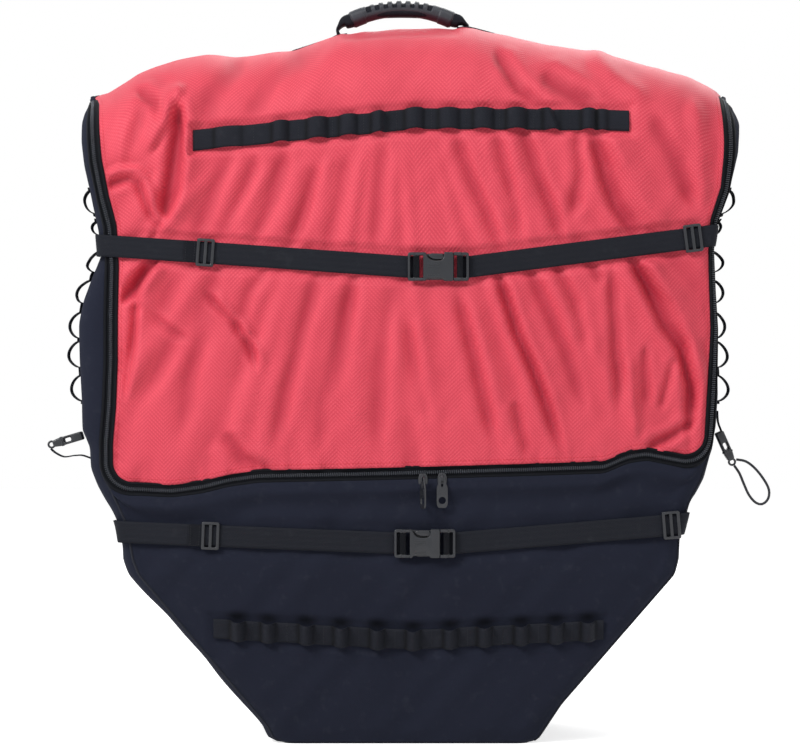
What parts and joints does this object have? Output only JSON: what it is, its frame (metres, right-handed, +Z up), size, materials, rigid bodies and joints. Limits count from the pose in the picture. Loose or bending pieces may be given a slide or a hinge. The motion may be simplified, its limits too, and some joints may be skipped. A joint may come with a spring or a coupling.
{
  "type": "soft bike travel bag",
  "caption": "Soft bike travel bag, wide at the middle and narrow at the base, with a zipped front lid, compression straps with side-release buckles, loop rows and a carry handle.",
  "frame": {"origin": "middle of the base's underside, where the bag stands", "axes": "+X to the right seen from the front, +Y from the zipped front to the back, +Z up"},
  "size_m": [0.8409, 0.3082, 0.871],
  "materials": {
    "red_cloth": "coral red dobby weave",
    "navy_cloth": "dark navy plain weave",
    "webbing": "dark grey woven webbing",
    "elastic": "black woven elastic",
    "zip_tape": "black coil zip",
    "zip_metal": "black coated",
    "plastic": "moulded charcoal",
    "foam": "lined foam",
    "board": "stiff board"
  },
  "bodies": {
    "shell": {"front_upper_panel": "red_cloth", "crown_panel": "red_cloth", "front_lower_panel": "navy_cloth", "side_panel_left": "navy_cloth", "side_panel_right": "navy_cloth", "back_panel": "navy_cloth", "bottom_panel": "navy_cloth", "zip_tape_bag": "zip_tape", "zip_tape_upper_left": "zip_tape", "zip_tape_upper_right": "zip_tape", "base_board": "board", "base_foam": "foam", "foam_back": "foam", "foam_front": "foam", "foam_left": "foam", "foam_right": "foam", "wheel_divider": "foam", "tie_down_upper": "webbing", "tie_down_lower": "webbing", "upper_strap_left": "webbing", "upper_strap_right": "webbing", "upper_buckle_socket": "plastic", "lower_strap_left": "webbing", "lower_strap_right": "webbing", "lower_buckle_socket": "plastic", "elastic_row_upper": "elastic", "elastic_row_lower": "elastic", "side_loops_left": "webbing", "side_loops_right": "webbing", "handle_strip_left": "webbing", "handle_strip_right": "webbing"},
    "lid": {"lid_panel": "red_cloth", "zip_tape_lid": "zip_tape"},
    "carry_handle": {"handle_grip": "plastic", "handle_webbing": "webbing"},
    "side_buckle_left": {"side_buckle_left": "plastic", "side_webbing_left": "webbing"},
    "side_buckle_right": {"side_buckle_right": "plastic", "side_webbing_right": "webbing", "tail_loop_right": "webbing"},
    "zip_slider_left": {"zip_slider_left": "zip_metal"},
    "zip_slider_right": {"zip_slider_right": "zip_metal"},
    "pull_tab_left": {"pull_tab_left": "zip_metal"},
    "pull_tab_right": {"pull_tab_right": "zip_metal"},
    "upper_glide_left": {"upper_glide_left": "plastic"},
    "upper_glide_right": {"upper_glide_right": "plastic"},
    "lower_glide_left": {"lower_glide_left": "plastic"},
    "lower_glide_right": {"lower_glide_right": "plastic"},
    "upper_plug": {"upper_buckle_plug": "plastic"},
    "upper_prong_upper": {"upper_buckle_prong_upper": "plastic"},
    "upper_prong_lower": {"upper_buckle_prong_lower": "plastic"},
    "lower_plug": {"lower_buckle_plug": "plastic"},
    "lower_prong_upper": {"lower_buckle_prong_upper": "plastic"},
    "lower_prong_lower": {"lower_buckle_prong_lower": "plastic"}
  },
  "joints": [
    {"name": "lid_fold", "type": "hinge", "parent": "shell", "child": "lid", "pos_m": [0, -0.14919, 0.526], "axis": [-1, 0, 0], "range_deg": [0, 100]},
    {"name": "zip_run_left", "type": "slide", "parent": "shell", "child": "zip_slider_left", "axis": [-0.9997, 0.0084, -0.0219], "range_m": [0, 0.15]},
    {"name": "zip_run_right", "type": "slide", "parent": "shell", "child": "zip_slider_right", "axis": [0.9994, 0.0188, 0.0304], "range_m": [0, 0.15]},
    {"name": "pull_tab_left_swing", "type": "hinge", "parent": "zip_slider_left", "child": "pull_tab_left", "pos_m": [0.024, -0.16196, 0.31], "axis": [-0.4226, 0.9063, 0], "range_deg": [0, 150]},
    {"name": "pull_tab_right_swing", "type": "hinge", "parent": "zip_slider_right", "child": "pull_tab_right", "pos_m": [0.046, -0.15647, 0.31067], "axis": [-1, 0, 0], "range_deg": [0, 150]},
    {"name": "upper_buckle_release", "type": "slide", "parent": "shell", "child": "upper_plug", "axis": [1, 0.0059, 0], "range_m": [0, 0.035], "deforming": ["upper_strap_right"]},
    {"name": "upper_prong_upper_squeeze", "type": "slide", "parent": "upper_plug", "child": "upper_prong_upper", "axis": [0.0001, -0.0178, -0.9998], "range_m": [0, 0.003], "stiffness_N_per_m": 400},
    {"name": "upper_prong_lower_squeeze", "type": "slide", "parent": "upper_plug", "child": "upper_prong_lower", "axis": [-0.0001, 0.0178, 0.9998], "range_m": [0, 0.003], "stiffness_N_per_m": 400},
    {"name": "upper_glide_left_adjust", "type": "slide", "parent": "shell", "child": "upper_glide_left", "axis": [0.997, -0.0323, -0.0709], "range_m": [0, 0.03]},
    {"name": "upper_glide_right_adjust", "type": "slide", "parent": "shell", "child": "upper_glide_right", "axis": [-0.9907, -0.0446, -0.1282], "range_m": [0, 0.03]},
    {"name": "lower_buckle_release", "type": "slide", "parent": "shell", "child": "lower_plug", "axis": [1, 0.004, 0], "range_m": [0, 0.035], "deforming": ["lower_strap_right"]},
    {"name": "lower_prong_upper_squeeze", "type": "slide", "parent": "lower_plug", "child": "lower_prong_upper", "axis": [-0.0001, 0.0239, -0.9997], "range_m": [0, 0.003], "stiffness_N_per_m": 400},
    {"name": "lower_prong_lower_squeeze", "type": "slide", "parent": "lower_plug", "child": "lower_prong_lower", "axis": [0.0001, -0.0239, 0.9997], "range_m": [0, 0.003], "stiffness_N_per_m": 400},
    {"name": "lower_glide_left_adjust", "type": "slide", "parent": "shell", "child": "lower_glide_left", "axis": [0.9987, -0.0337, -0.0391], "range_m": [0, 0.03]},
    {"name": "lower_glide_right_adjust", "type": "slide", "parent": "shell", "child": "lower_glide_right", "axis": [-0.9955, -0.0476, -0.0816], "range_m": [0, 0.03]},
    {"name": "carry_handle_tilt", "type": "hinge", "parent": "shell", "child": "carry_handle", "pos_m": [0, -0.03, 0.848], "axis": [1, 0, 0], "range_deg": [-60, 60], "stiffness_Nm_per_rad": 0.3, "deforming": ["handle_webbing"]},
    {"name": "side_buckle_left_swing", "type": "hinge", "parent": "shell", "child": "side_buckle_left", "pos_m": [-0.3685, -0.1, 0.357], "axis": [0, 1, 0], "range_deg": [-25, 40], "stiffness_Nm_per_rad": 0.1, "deforming": ["side_webbing_left"]},
    {"name": "side_buckle_right_swing", "type": "hinge", "parent": "shell", "child": "side_buckle_right", "pos_m": [0.364, -0.1, 0.366], "axis": [0, 1, 0], "range_deg": [-60, 10], "stiffness_Nm_per_rad": 0.1, "deforming": ["side_webbing_right"]}
  ],
  "couplings": [
    {"joint": "zip_run_left", "follows": "lid_fold", "m_per_rad": 0.0859},
    {"joint": "zip_run_right", "follows": "lid_fold", "m_per_rad": 0.0859},
    {"joint": "upper_prong_lower_squeeze", "follows": "upper_prong_upper_squeeze", "ratio": 1},
    {"joint": "lower_prong_lower_squeeze", "follows": "lower_prong_upper_squeeze", "ratio": 1}
  ]
}
